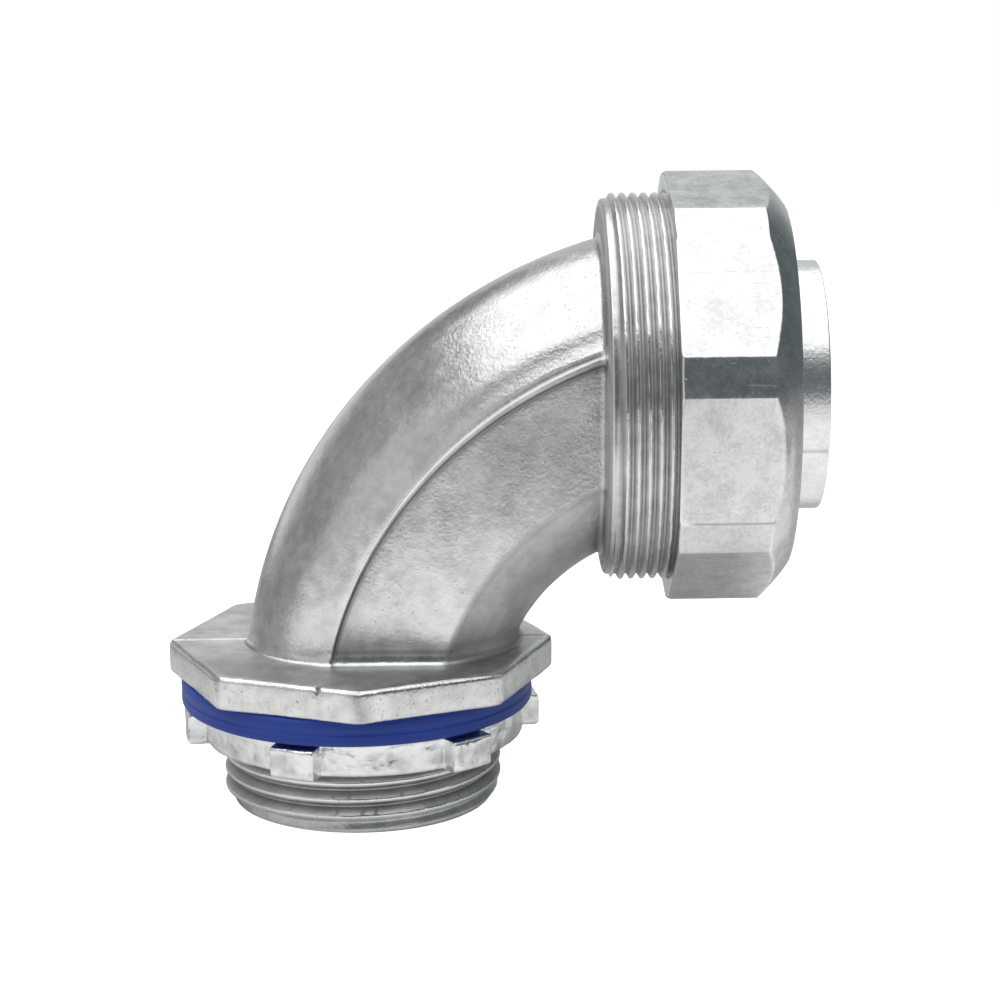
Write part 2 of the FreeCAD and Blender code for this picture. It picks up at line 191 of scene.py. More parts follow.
def buildPiece(name, sheets, body, node, look, metallic=1.0, sharpAngle=38.0):
    # one mesh from several grids, which rides on its body and stands for its CAD node
    faces = []
    offset = 0
    for item in sheets:
        rows, columns = item["points"].shape[:2]
        quads = gridFaces(rows, columns, offset, item["closed"])
        if (outwardShare(item["points"])[1].sum() > 0) == item["inward"]:
            quads = quads[:, ::-1]
        faces.append(quads)
        offset += rows * columns
    points = np.concatenate([item["points"].reshape(-1, 3) for item in sheets]) * metre
    mesh = bpy.data.meshes.new(name)
    mesh.from_pydata(points.tolist(), [], np.concatenate(faces).tolist())
    for key in surfaceKeys:
        values = np.concatenate([item[key].reshape(-1) for item in sheets]).astype(np.float32)
        mesh.attributes.new(key, "FLOAT", "POINT").data.foreach_set("value", values)
    mesh.shade_smooth()
    mesh.set_sharp_from_angle(angle=math.radians(sharpAngle))
    mesh.validate()
    piece = placed(name, mesh)
    mesh.materials.append(makeMaterial(look, metallic))
    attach(piece, body)
    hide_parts(node)
    print("%s: %d triangles" % (name, sum(len(quads) for quads in faces) * 2))


# The bend. Its sections lie on planes that turn about the pivot, and grow from the flange to the collar.
bend = {
    "axisHeight": 43.0,
    "pivotAcross": 47.5,
    "pivotDrop": 5.9,
    "lowTurn": 10.0,
    "highTurn": 80.0,
    "innerReach": 26.6,
    "innerGrowth": 0.6,
    "outerReach": 65.3,
    "outerGrowth": 3.5,
    "outerLateGrowth": 3.0,
    "bellyDepth": 9.7,
    "bellyGrowth": 3.1,
    "tubeDepth": 12.4,
    "tubeGrowth": 3.5,
    "tubeLateShrink": 2.6,
    "panelHalfWidth": 14.9,
    "panelFlare": 3.9,
    "flareEase": 0.2,
    "panelStep": 0.15,
    "panelStepGrowth": 2.4,
    "lipRound": 1.1,
    "stepSlope": 0.6,
    "creaseRound": 0.35,
    "edgeRound": 0.2,
    "hollowDepth": 0.3,
    "hollowWidth": 1.0,
    "hollowAway": 2.6,
    "footWidths": (0.75, 0.9, 1.5),
    "footHeights": (1.1, 2.0, 2.6),
    "collarFillet": 0.8,
    "outerWall": 3.2,
    "innerWall": 4.2,
    "sideWall": 2.3,
}

flange = {
    "cornerRadius": 29.0,
    "thickness": 5.0,
    "cornerRound": 2.6,
    "edgeRound": 0.8,
    "unevenness": 0.1,
    "stainAndReflectionHalfWidth": 2.2,
    "nickAngle": 257.8,
    "nickDepth": 0.45,
    "sides": 8,
    "seamHeight": 0.16,
    "seamWidth": 0.35,
    "ovalMiddle": 2.9,
    "ovalHalfLength": 17.0,
    "ovalHalfWidth": 14.0,
    "boreOverlap": 0.4,
}

collar = {
    "start": 35.9,
    "startRadius": 22.0,
    "shoulderStart": 36.0,
    "shoulderRadius": 26.9,
    "landStart": 36.25,
    "landRadius": 27.75,
    "cornerRound": 0.4,
    "landEnd": 36.95,
    "end": 51.4,
    "threadRadius": 28.5,
    "lead": 0.8,
    "socketRadius": 24.6,
    "socketFloor": 45.4,
    "boreRadius": 17.3,
    "ovalDrop": 0.6,
    "ovalHalfWidth": 17.3,
    "ovalHalfHeight": 20.8,
}

glandThread = {"pitch": 1.5875, "depth": 0.8, "crestShare": 0.19, "rootShare": 0.16, "edgeShare": 0.03,
               "edgeSlope": 0.5, "phase": 0.9}

hub = {
    "length": 19.2,
    "threadRadius": 20.86,
    "endRadius": 19.4,
    "leadHeight": 2.0,
    "boreRadius": 17.0,
    "boreTop": -6.0,
}

hubThread = {"pitch": 2.5, "depth": 1.25, "crestShare": 0.08, "rootShare": 0.1, "edgeShare": 0.1,
             "edgeSlope": 0.3, "phase": 0.77}


def grownShare(turn):
    return (turn - bend["lowTurn"]) / (bend["highTurn"] - bend["lowTurn"])


def bendLimits(turn):
    # reach of the inner side, the outer side and the panel's two edges, then the panel's half width,
    # which starts upright at the flange
    grown = grownShare(turn)
    inner = bend["innerReach"] + bend["innerGrowth"] * grown
    outer = bend["outerReach"] + bend["outerGrowth"] * grown + bend["outerLateGrowth"] * grown ** 2
    belly = bend["bellyDepth"] + bend["bellyGrowth"] * grown ** 2
    tube = bend["tubeDepth"] + bend["tubeGrowth"] * grown - bend["tubeLateShrink"] * grown ** 2
    ease = bend["flareEase"]
    flare = (np.sqrt(grown ** 2 + ease ** 2) - ease) / (math.sqrt(1.0 + ease ** 2) - ease)
    panel = bend["panelHalfWidth"] + bend["panelFlare"] * flare
    return inner, outer, inner + belly, outer - tube, panel


def bendHalf(turn, stretch, share):
    # half a section, from the outer tip round to the inner one, as reach from the pivot and distance
    # from the middle plane. stretch picks the part: 0 outer arc, 1 lip, 2 crease, 3 panel, 4 edge,
    # 5 inner arc; share runs along it. The arcs are parts of ellipses, the small parts are curves.
    inner, outer, low, high, panel = bendLimits(turn)
    middle = (inner + outer) / 2.0
    half = (outer - inner) / 2.0
    step = np.maximum(bend["panelStep"] + bend["panelStepGrowth"] * grownShare(turn), 0.02)
    proud = panel + step
    lip = np.minimum(bend["lipRound"], 0.5 * step)
    crease = np.minimum(bend["creaseRound"], 0.3 * step)
    foot = high - bend["stepSlope"] * step
    outerStart = np.arccos((high - middle) / half)
    outerWidth = proud / np.sin(outerStart)
    outerLast = outerStart - lip / half
    innerStart = np.arccos((low - middle) / half)
    innerWidth = panel / np.sin(innerStart)
    innerFirst = innerStart + bend["edgeRound"] / half

    def outerArc(angle):
        return middle + half * np.cos(angle), outerWidth * np.sin(angle)

    def innerArc(angle):
        return middle + half * np.cos(angle), innerWidth * np.sin(angle)

    def curve(start, corner, end):
        return bezier(start[0], corner[0], end[0], share), bezier(start[1], corner[1], end[1], share)

    parts = [
        outerArc(outerLast * share),
        curve(outerArc(outerLast), (high, proud), (high - bend["stepSlope"] * lip, proud - lip)),
        curve((foot + bend["stepSlope"] * crease, panel + crease), (foot, panel), (foot - crease, panel)),
        (foot - crease + (low + bend["edgeRound"] - foot + crease) * share, panel),
        curve((low + bend["edgeRound"], panel), (low, panel), innerArc(innerFirst)),
        innerArc(innerFirst + (math.pi - innerFirst) * share),
    ]
    return [sum(np.where(stretch == number, part[which], 0.0) for number, part in enumerate(parts))
            for which in (0, 1)]


def onBend(reach, away, turn):
    # points at this reach from the pivot on the plane of this turn
    height = reach * sinDeg(turn) - bend["pivotDrop"]
    return pointsAt(bend["pivotAcross"] - reach * cosDeg(turn), away, height)


def turnWhere(legs, arc, stretch, share, guess):
    # the turn at which each column of the bend passes a plane, found by repeated substitution: the sine
    # or the cosine of the turn is the plane's distance from the pivot over the reach
    turn = np.full(np.broadcast_shapes(legs.shape, share.shape), guess)
    for _ in range(12):
        turn = np.degrees(arc(np.clip(legs / bendHalf(turn, stretch, share)[0], -1.0, 1.0)))
    return turn


def filletReach(width, tall, height):
    # how far a concave quarter of an ellipse stands out at this height over its foot
    inside = np.clip(1.0 - height / tall, 0.0, 1.0)
    return width * (1.0 - np.sqrt(1.0 - inside ** 2))


def bendSheet():
    # the bend from the flange's top to the collar's rear: columns go round the section, rows along it
    counts = [34, 5, 4, 26, 5, 26]
    stretch = np.concatenate([np.full(count, number) for number, count in enumerate(counts)])
    share = np.concatenate([np.linspace(0.0, 1.0, count, endpoint=number in (1, 4, 5))
                            for number, count in enumerate(counts)])
    stretch = np.concatenate([stretch, stretch[-2:0:-1]])[None, :]
    side = np.concatenate([np.ones(len(share)), -np.ones(len(share) - 2)])[None, :]
    share = np.concatenate([share, share[-2:0:-1]])[None, :]

    top = flange["thickness"]
    footRise = max(bend["footHeights"]) * (1.0 - np.cos(np.linspace(0.0, math.pi / 2, 16)))
    legs = (top + footRise)[:, None] + bend["pivotDrop"]
    footTurns = turnWhere(legs, np.arcsin, stretch, share, 20.0)
    collarGaps = 2.0 * (1.0 - np.cos(np.linspace(math.pi / 2, 0.0, 9)))
    legs = bend["pivotAcross"] - (collar["start"] + 0.2 - collarGaps)[:, None]
    collarTurns = turnWhere(legs, np.arccos, stretch, share, 70.0)
    between = np.linspace(0.0, 1.0, 86)[1:-1, None]
    middleTurns = footTurns[-1:] + (collarTurns[:1] - footTurns[-1:]) * between
    turn = np.concatenate([footTurns, middleTurns, collarTurns])

    reach, away = bendHalf(turn, stretch, share)
    points = onBend(reach, away * side, turn)

    normal, outward = outwardShare(points)
    normal *= np.sign(outward)

    inner, outer, low, high, panel = bendLimits(turn)
    grown = grownShare(turn)
    onTube = smooth(high - 0.5, high + 2.5, reach)
    onBelly = smooth(low + 0.5, low - 2.0, reach)
    footShares = (onTube, 1.0 - onTube - onBelly, onBelly)
    footWidth = sum(part * size for part, size in zip(footShares, bend["footWidths"]))
    footHeight = sum(part * size for part, size in zip(footShares, bend["footHeights"]))
    flat = unitOf(normal * [1.0, 1.0, 0.0])
    rise = points[..., 2] - top
    footOut = filletReach(footWidth, footHeight, rise)
    upright = unitOf(normal * [0.0, 1.0, 1.0])
    toCollar = collar["start"] - points[..., 0]
    collarOut = filletReach(bend["collarFillet"], bend["collarFillet"], np.maximum(toCollar, 0.0))
    # a shallow hollow runs along the tube just outside the lip, deeper towards the collar
    fromHollow = bump(reach, high + bend["hollowAway"], bend["hollowWidth"]) * (stretch == 0)
    grown = np.clip(grown, 0.0, 1.0)
    hollow = bend["hollowDepth"] * fromHollow * grown
    points = points + flat * footOut[..., None] + upright * collarOut[..., None]
    points -= unitOf(normal) * hollow[..., None]

    # wear along the lip; painted shade in the crease, on the belly's edge, over the panel's foot and at the
    # collar;
    # pits in the hollow, at both ends of the panel, under the lip and more of them towards the collar;
    # the belly is matt and painted darker as shade
    wear = (stretch == 1) * (0.3 + 0.7 * grown) * smooth(0.0, 1.5, rise) * (share < 0.7)
    panelSide = np.isin(stretch, [2, 3, 4])
    foot = high - bend["stepSlope"] * (bend["panelStep"] + bend["panelStepGrowth"] * grown)
    grime = bump(reach, foot, 0.3 + 0.35 * grown) * panelSide + 0.6 * bump(reach, low - 0.1, 0.2)
    grime = grime + 0.5 * bump(rise, 1.9, 0.3) * panelSide + 0.3 * bump(toCollar, 0.1, 0.4)
    rough = fromHollow * smooth(0.3, 0.9, grown) + 0.8 * bump(toCollar, 2.0, 2.2) * panelSide
    rough = rough + 0.7 * bump(rise, 2.0, 0.4) * panelSide
    rough = rough + 0.7 * bump(reach, foot - 1.0, 1.2) * (stretch == 3)
    rough = rough + 0.45 * smooth(0.45, 0.95, grown) * np.isin(stretch, [0, 3])
    bellyMattAndShade = (stretch >= 4) * (0.6 + 0.4 * bump(rise, 2.0, 3.0))
    grime = np.maximum(grime, 0.62 * bellyMattAndShade)
    return sheet(points, *(np.clip(part, 0.0, 1.0) for part in (wear, grime, rough, 0.5 * bellyMattAndShade)))


def octagon(angle, inset):
    # the radius of an octagon with rounded corners on the axes, drawn in by the inset
    apothem = flange["cornerRadius"] * math.cos(math.pi / flange["sides"]) - inset
    rounding = flange["cornerRound"]
    halfSide = 180.0 / flange["sides"]
    fromCorner = np.abs((angle + halfSide) % (2 * halfSide) - halfSide)
    straight = apothem / cosDeg(halfSide - fromCorner)
    centre = (apothem - rounding) / cosDeg(halfSide)
    curved = centre * cosDeg(fromCorner)
    curved = curved + np.sqrt(np.maximum(rounding ** 2 - (centre * sinDeg(fromCorner)) ** 2, 0.0))
    touch = np.degrees(np.arctan2(rounding * sinDeg(halfSide), centre + rounding * cosDeg(halfSide)))
    return np.where(fromCorner < touch, curved, straight)


def flangeSheet():
    # from an oval under the bend out over the top, down the side and back to the hub's thread;
    # a casting seam stands up on the top in the middle plane
    side = 360.0 / flange["sides"]
    angle = ((np.arange(flange["sides"])[:, None] + crowded(26, 0.85)) * side).ravel()
    # the nick on the edge has nine columns of its own
    angle = np.sort(np.concatenate([angle, flange["nickAngle"] + np.linspace(-1.6, 1.6, 9)]))[None, :]
    top = flange["thickness"]
    turn = np.linspace(0.0, 90.0, 6)[:, None]
    rounding = flange["edgeRound"]
    ovalX = flange["ovalMiddle"] + flange["ovalHalfLength"] * cosDeg(angle)
    ovalY = flange["ovalHalfWidth"] * sinDeg(angle)
    rimTop = octagon(angle, rounding)
    shares = np.linspace(0.0, 1.0, 12, endpoint=False)[:, None]
    topX = ovalX + (rimTop * cosDeg(angle) - ovalX) * shares
    topY = ovalY + (rimTop * sinDeg(angle) - ovalY) * shares
    topRows = pointsAt(topX, topY, top + flange["seamHeight"] * bump(topY, 0.0, flange["seamWidth"]))

    edgeInset = rounding * (1.0 - sinDeg(turn))
    edgeHeight = top - rounding * (1.0 - cosDeg(turn))
    upper = wound(edgeHeight, octagon(angle, edgeInset), angle, "hub")
    upper[..., 2] += flange["seamHeight"] * bump(upper[..., 1], 0.0, flange["seamWidth"]) * cosDeg(turn)
    sideShares = np.linspace(0.0, 1.0, 5)[1:-1, None]
    sideHeights = top - rounding - (top - 2 * rounding) * sideShares
    sideRows = wound(sideHeights, octagon(angle, 0.0), angle, "hub")
    lower = wound((top - edgeHeight)[::-1], octagon(angle, edgeInset[::-1]), angle, "hub")
    rootRadius = hub["threadRadius"] - hubThread["depth"] - flange["boreOverlap"]
    inside = wound(np.zeros((1, 1)), rootRadius, angle, "hub")
    points = np.concatenate([topRows, upper, sideRows, lower, inside])
    uneven = flange["unevenness"] * (wander(points, 2.2, 21) + 0.7 * wander(points, 0.8, 22))
    points[12:-1] += uneven[12:-1, :, None] * (points[12:-1] * [1, 1, 0]) / flange["cornerRadius"]
    # rows 0 to 11 are the top, 12 to 17 its rounded edge, 18 to 20 the side and 21 to 26 the lower edge;
    # a stain and a painted dark reflection lean on the side's front corner, and the nick is dark
    nick = bump(angle, flange["nickAngle"], 0.55)
    points[12:18, :, 2] -= flange["nickDepth"] * nick
    wear, grime, matt = np.zeros((3,) + points.shape[:2])
    wear[12:18] = 0.5 * sinDeg(2 * turn) ** 0.5
    wear[21:27] = 0.6 * sinDeg(2 * turn) ** 0.5
    rough = np.full_like(wear, 0.6)
    rough[:12] = 0.5
    # the top is painted a little darker all over and more towards the front, as shade
    grime[:12] = 0.1 + 0.45 * smooth(-6.0, -16.0, topRows[..., 1])
    grime[14:] = 0.45 * bump(angle + 0.6 * points[14:, :, 2], 272.0, flange["stainAndReflectionHalfWidth"])
    grime[12:17] = np.maximum(grime[12:17], nick)
    matt[:12] = 0.3
    return sheet(points, wear * (1.0 - grime), grime, rough, matt)


def hubSheet():
    # the hub's thread from the sealing face down, its lead, its end and its bore
    angle = np.linspace(90.0, 450.0, 270)[None, :]
    height, crest, above = (rows[::-1] for rows in threadRows(-hub["length"], 0.0, angle, hubThread))
    fromEnd = height + hub["length"]
    leadRadius = hub["endRadius"] + (hub["threadRadius"] - hub["endRadius"]) * fromEnd / hub["leadHeight"]
    radius = hub["threadRadius"] - hubThread["depth"] * (1.0 - crest)
    skin = wander(wound(height, radius, angle, "hub"), 0.5, 31)
    radius = softLeast([radius + 0.03 * skin * crest, leadRadius + 0.02 * skin], 0.05)
    screw = wound(height + 0.02 * skin * crest * smooth(0.5, 1.5, fromEnd), radius, angle, "hub")
    ends = roundedLine([
        (-hub["length"], hub["endRadius"] - 0.15, 0),
        (-hub["length"], hub["boreRadius"], 0.4),
        (hub["boreTop"], hub["boreRadius"], 0),
    ])
    # the flanks are matt and painted dark as shade, more so above a crest than below it, painted shade runs
    # round the bottom end, and the lead is pitted
    wide = angle.shape[1]
    clean = np.zeros((len(ends), 1))
    flank = smooth(1.0, 0.85, crest) * smooth(2.2, 2.8, fromEnd)
    flankAndEndShade = np.where(above > 0.0, 0.8, 0.45) * flank + 0.7 * bump(fromEnd, 0.0, 0.25)
    wear = stacked([smooth(0.95, 1.0, crest), ends[:, 2:3]], wide)
    grime, rough, matt = (stacked([part, clean], wide)
                          for part in (flankAndEndShade, 0.7 * smooth(3.4, 2.0, fromEnd), 0.6 * flank))
    points = np.concatenate([screw, turned(ends, angle, "hub")])
    return sheet(points, wear, grime, rough, matt, closed=False)


def passageSheet():
    # the hollow inside: ovals on the bend's own planes, between the hub's round bore and the boss's,
    # joined by cubic curves that pass through each of them
    angle = np.linspace(0.0, 360.0, 72, endpoint=False)
    keys = [pointsAt(hub["boreRadius"] * -cosDeg(angle), hub["boreRadius"] * sinDeg(angle), hub["boreTop"])]
    for turn in np.linspace(14.0, 70.0, 5):
        inner, outer, _low, _high, panel = bendLimits(turn)
        inner, outer = inner + bend["innerWall"], outer - bend["outerWall"]
        reach = (inner + outer) / 2.0 + (outer - inner) / 2.0 * cosDeg(angle)
        keys.append(onBend(reach, (panel - bend["sideWall"]) * sinDeg(angle), turn))
    height = bend["axisHeight"] + collar["boreRadius"] * cosDeg(angle)
    keys.append(pointsAt(collar["socketFloor"], collar["boreRadius"] * sinDeg(angle), height))
    keys = np.array(keys)
    slopes = np.gradient(keys, axis=0)
    place = np.linspace(0.0, len(keys) - 1.0, 61)
    first = np.minimum(place.astype(int), len(keys) - 2)
    part = (place - first)[:, None, None]
    blend = 3 * part ** 2 - 2 * part ** 3
    points = keys[first] * (1 - blend) + keys[first + 1] * blend
    points += slopes[first] * (part ** 3 - 2 * part ** 2 + part) + slopes[first + 1] * (part ** 3 - part ** 2)
    # the inside is painted darker as shade
    return sheet(points, 0.0, 0.4, 0.5, inward=True)


def bossSheet():
    # from the boss's bore out over its socket and end, back along its thread, over the collar
    # and in to an oval inside the bend
    angle = np.linspace(0.0, 360.0, 270)[None, :]
    front = roundedLine([
        (collar["socketFloor"], collar["boreRadius"], 0),
        (collar["socketFloor"], collar["socketRadius"], 0.2),
        (collar["end"], collar["socketRadius"], 0.3),
        (collar["end"], collar["threadRadius"] - collar["lead"], 0),
    ])
    landEnd = collar["landEnd"]
    along, crest, _beyond = (rows[::-1] for rows in threadRows(landEnd, collar["end"], angle, glandThread))
    starting = smooth(landEnd, landEnd + 0.4, along)
    skin = wander(wound(along, collar["threadRadius"], angle, "gland"), 0.4, 33)
    radius = collar["threadRadius"] - glandThread["depth"] * (1.0 - crest) + 0.03 * skin * crest
    radius = collar["landRadius"] + (radius - collar["landRadius"]) * starting
    leadRadius = collar["threadRadius"] - collar["lead"] + (collar["end"] - along)
    radius = softLeast([radius, leadRadius], 0.04)
    screw = wound(along + 0.04 * skin * crest * starting, radius, angle, "gland")
    rear = roundedLine([
        (landEnd - 0.02, collar["landRadius"], 0),
        (collar["landStart"], collar["landRadius"], collar["cornerRound"]),
        (collar["shoulderStart"], collar["shoulderRadius"], collar["cornerRound"]),
        (collar["start"], collar["startRadius"], 0),
    ])
    ovalHeight = bend["axisHeight"] - collar["ovalDrop"] + collar["ovalHalfHeight"] * sinDeg(angle)
    oval = pointsAt(collar["start"], collar["ovalHalfWidth"] * cosDeg(angle), ovalHeight)
    points = np.concatenate([turned(front, angle, "gland"), screw, turned(rear, angle, "gland"), oval])

    # painted shade darkens the thread a little and its roots more, the flanks are matt, and the shoulder
    # behind the land is matt and painted darker as shade, the land a little less
    wide = angle.shape[1]
    clean, none = np.zeros((len(front), 1)), np.zeros((1, 1))
    onLand = smooth(collar["landStart"] - 0.1, collar["landStart"] + 0.3, rear[:, 0:1])
    onFlank = smooth(1.0, 0.85, crest) * starting
    threadWear = 0.4 * smooth(0.9, 1.0, crest) * starting
    threadShade = 0.1 + 0.35 * (1.0 - crest) ** 3 * onFlank
    wear = stacked([front[:, 2:3], threadWear, 0.6 * rear[:, 2:3], none], wide)
    grime = stacked([clean, threadShade, 0.4 - 0.2 * onLand, none], wide)
    matt = stacked([clean, 0.5 * onFlank, 0.6 - 0.6 * onLand, none], wide)
    return sheet(points, wear, grime, 0.0, matt, closed=False)


# The gland nut: eight wide flats and eight narrow ones under a sloping shoulder.
nut = {
    "start": 45.6,
    "length": 17.3,
    "wideApothem": 30.25,
    "narrowApothem": 31.55,
    "clocking": 12.7,
    "sides": 8,
    "shoulderRadius": 31.75,
    "shoulderLength": 4.3,
    "browRadius": 28.4,
    "browLength": 1.1,
    "faceRadius": 26.9,
    "edgeSoftness": 0.07,
    "boreRadius": 28.56,
    "threadLength": 9.0,
    "reliefRadius": 27.0,
    "seatStart": 12.0,
    "mouthRadius": 21.9,
    "lip": 1.6,
    "rearBevel": 0.35,
    "rearSlope": 1.2,
    "nickAngle": 185.0,
    "nickAlong": 61.0,
    "nickDepth": 0.25,
}


def flatsRadius(angle, apothem, first):
    # the radius of a regular prism with this apothem, one flat's middle at the first angle
    side = 360.0 / nut["sides"]
    fromMiddle = (angle - first + side / 2) % side - side / 2
    return apothem / cosDeg(fromMiddle)


def nutSheet():
    # the least of the two prisms and the shoulder's cones, over the whole length, then the face and bore.
    # Each narrow flat cuts off one corner of the prism of wide ones.
    start = nut["start"]
    end = start + nut["length"]
    narrowMiddle = 180.0 - nut["clocking"]
    side = 360.0 / nut["sides"]
    halfSide = math.radians(side / 2)
    cornerGap = nut["wideApothem"] / math.cos(halfSide) - nut["narrowApothem"]
    halfNarrow = math.degrees(math.atan(cornerGap / math.tan(halfSide) / nut["narrowApothem"]))
    narrowSpan = -halfNarrow + 2 * halfNarrow * crowded(10, 0.88)
    wideSpan = halfNarrow + (side - 2 * halfNarrow) * crowded(18, 0.9)
    sector = np.concatenate([narrowSpan, wideSpan])
    angle = (narrowMiddle + np.arange(nut["sides"])[:, None] * side + sector[None, :]).reshape(1, -1)

    shoulderStart = end - nut["shoulderLength"]
    rearEdge = start + np.array([0.0, 0.04, 0.12, 0.25, 0.4, 0.6])
    plain = np.linspace(start + 1.0, shoulderStart - 0.6, 10)
    sloped = np.linspace(shoulderStart - 0.4, end, 58)
    along = np.concatenate([rearEdge, plain, sloped])[:, None]
    brow = end - nut["browLength"]
    upperSlope = (nut["shoulderRadius"] - nut["browRadius"]) / (brow - shoulderStart)
    upperCone = nut["shoulderRadius"] - (along - shoulderStart) * upperSlope
    lowerSlope = (nut["browRadius"] - nut["faceRadius"]) / nut["browLength"]
    lowerCone = nut["browRadius"] - (along - brow) * lowerSlope
    rearCone = nut["shoulderRadius"] - nut["rearBevel"] + (along - start) * nut["rearSlope"]
    radius = softLeast([
        flatsRadius(angle, nut["wideApothem"], narrowMiddle + side / 2),
        flatsRadius(angle, nut["narrowApothem"], narrowMiddle),
        upperCone,
        lowerCone,
        rearCone,
    ], nut["edgeSoftness"])
    nick = bump(along, nut["nickAlong"], 0.5) * bump(angle, nut["nickAngle"], 1.2)
    radius = radius - nut["nickDepth"] * nick
    outside = wound(along, radius, angle, "gland")
    inner = roundedLine([
        (end, nut["faceRadius"] - 0.35, 0),
        (end, nut["mouthRadius"], 0.5),
        (end - nut["lip"], nut["mouthRadius"], 0.1),
        (start + nut["seatStart"], nut["reliefRadius"], 0.1),
        (start + nut["threadLength"], nut["reliefRadius"], 0.1),
        (start + nut["threadLength"], nut["boreRadius"], 0.1),
        (start, nut["boreRadius"], 0.3),
        (start, nut["boreRadius"] + 1.0, 0),
    ])
    inside = turned(inner, angle, "gland")
    rearEnd = wound(np.array([[start]]), radius[:1] - 0.1, angle, "gland")
    fromEdge = np.abs(np.abs((angle - narrowMiddle + side / 2) % side - side / 2) - halfNarrow)
    edgeWear = bump(fromEdge, 0.0, 0.45) * (along < shoulderStart + 1.2)
    rimWear = bump(along, start + 0.1, 0.3) + 0.8 * bump(along, end, 0.35) + 0.3 * bump(along, brow, 0.25)
    wear = stacked([np.clip(edgeWear + rimWear, 0, 1), inner[:, 2:3], np.zeros((1, 1))], angle.shape[1])
    # a dark parting line runs along two opposite edges
    seamAngle = narrowMiddle - halfNarrow + side
    seam = bump((angle - seamAngle + 90.0) % 180.0 - 90.0, 0.0, 0.35)
    grime = np.zeros_like(wear)
    grime[:len(along)] = seam * smooth(start + 0.6, start + 2.0, along) * (along < shoulderStart + 0.6)
    return sheet(np.concatenate([outside, inside, rearEnd]), wear * (1.0 - grime), grime)


# The locknut: a rough ring with six lugs, flush with its lower face and short of its upper one.
locknut = {
    "top": -4.03,
    "thickness": 5.2,
    "rimRadius": 24.2,
    "lugRadius": 26.8,
    "lugWidth": 6.8,
    "lugDrop": 0.6,
    "lugs": 6,
    "firstLug": 8.5,
    "edgeRound": 0.55,
    "softness": 0.3,
    "boreRadius": 20.92,
    "unevenness": 0.12,
}


def wander(points, scale, seed):
    # a smooth random field from -1 to 1: products of sines in a few fixed random directions
    rng = np.random.default_rng(seed)
    total = np.zeros(points.shape[:-1])
    for _ in range(6):
        direction = rng.normal(size=3)
        direction /= np.linalg.norm(direction)
        other = np.cross(direction, rng.normal(size=3))
        size = scale * rng.uniform(0.6, 1.6)
        total += np.sin(points @ direction / size + rng.uniform(0, 6.28)) * np.sin(
            points @ other / size + rng.uniform(0, 6.28))
    return total / 3.0


def locknutSheet():
    # rows run over the top, down past the lugs and back along the bore; the lugs' sides are parallel
    step = 360.0 / locknut["lugs"]
    root = math.degrees(math.asin(locknut["lugWidth"] / 2 / locknut["rimRadius"]))
    tip = math.degrees(math.asin(locknut["lugWidth"] / 2 / locknut["lugRadius"]))
    sector = np.concatenate([
        np.linspace(-tip + 0.5, tip - 0.5, 12),
        np.linspace(tip - 0.3, root + 1.4, 14),
        np.linspace(root + 2.0, step - root - 2.0, 16),
        np.linspace(step - root - 1.4, step - tip + 0.3, 14),
    ])
    angle = (locknut["firstLug"] + np.arange(locknut["lugs"])[:, None] * step + sector).reshape(1, -1)
    fromLug = np.abs((angle - locknut["firstLug"] + step / 2) % step - step / 2)
    flank = locknut["lugWidth"] / 2 / np.maximum(sinDeg(fromLug), 0.02)
    lug = softLeast([locknut["lugRadius"], flank], locknut["softness"])
    lug = -softLeast([-lug, -locknut["rimRadius"]], locknut["softness"])
    stand = lug - locknut["rimRadius"]

    top = locknut["top"]
    base = top - locknut["thickness"]
    lugTop = top - locknut["lugDrop"]
    rounding = locknut["edgeRound"]
    rim = locknut["rimRadius"]
    bore = locknut["boreRadius"]
    lugStand = locknut["lugRadius"] - rim
    turn = np.linspace(0.0, 90.0, 5)
    bevel = list(zip(rounding * (1 - cosDeg(turn)), rounding * (1 - sinDeg(turn))))
    # each row's height, its radius off the lugs, how far the lugs stand out there, and its wear
    rows = [(top, bore, 0.0, 0.3), (top, rim - 2.0, 0.0, 0.0)]
    rows += [(top - down, rim - back, 0.0, 1.0) for down, back in bevel]
    rows += [(lugTop + 0.25, rim, 0.0, 0.0), (lugTop + 0.05, rim + 0.02, 0.12, 0.0), (lugTop, rim, 0.4, 0.0)]
    rows += [(lugTop - down, rim, 1.0 - back / lugStand, 1.0) for down, back in bevel]
    rows += [(lugTop + (base - lugTop) * share, rim, 1.0, 0.0) for share in (0.25, 0.5, 0.75)]
    rows += [(base + down, rim - back, 1.0, 0.8) for down, back in reversed(bevel)]
    rows += [(base, bore + 1.4, 0.0, 0.0), (base + 0.1, bore + 0.4, 0.0, 0.5), (base + 0.7, bore, 0.0, 0.0)]
    table = np.array(rows + [(top, bore, 0.0, 0.0)])
    radius = table[:, 1:2] + stand * table[:, 2:3]
    points = wound(table[:, 0:1], radius, angle, "hub")
    # the skin is ruffled away from the bore, and drawn in a little
    free = smooth(bore + 0.4, bore + 1.6, radius)
    ruffle = locknut["unevenness"] * (wander(points, 1.1, 3) + 0.6 * wander(points, 0.45, 8)) - 0.08
    points = points + unitOf(points * [1.0, 1.0, 0.0]) * (ruffle * free)[..., None]
    # a painted shadow lies under the gasket along the lugs' tops
    return sheet(points, table[:, 3:4], 0.25 * bump(table[:, 0:1], lugTop, 0.3))


gasket = {
    "radius": 26.4,
    "boreRadius": 21.75,
    "thickness": 4.03,
    "offset": 0.7,
    "groove": 0.15,
}

ring = {
    "start": 54.8,
    "boreRadius": 21.4,
    "radius": 26.7,
    "land": 2.8,
    "length": 5.0,
    "frontRadius": 23.67,
}

ferrule = {
    "start": 45.4,
    "end": 67.95,
    "innerRadius": 17.1,
    "sleeveRadius": 18.4,
    "cupRadius": 24.3,
    "cupBoreRadius": 22.8,
    "cupEnd": 51.1,
    "wall": 1.5,
    "seamAngle": 200.6,
}


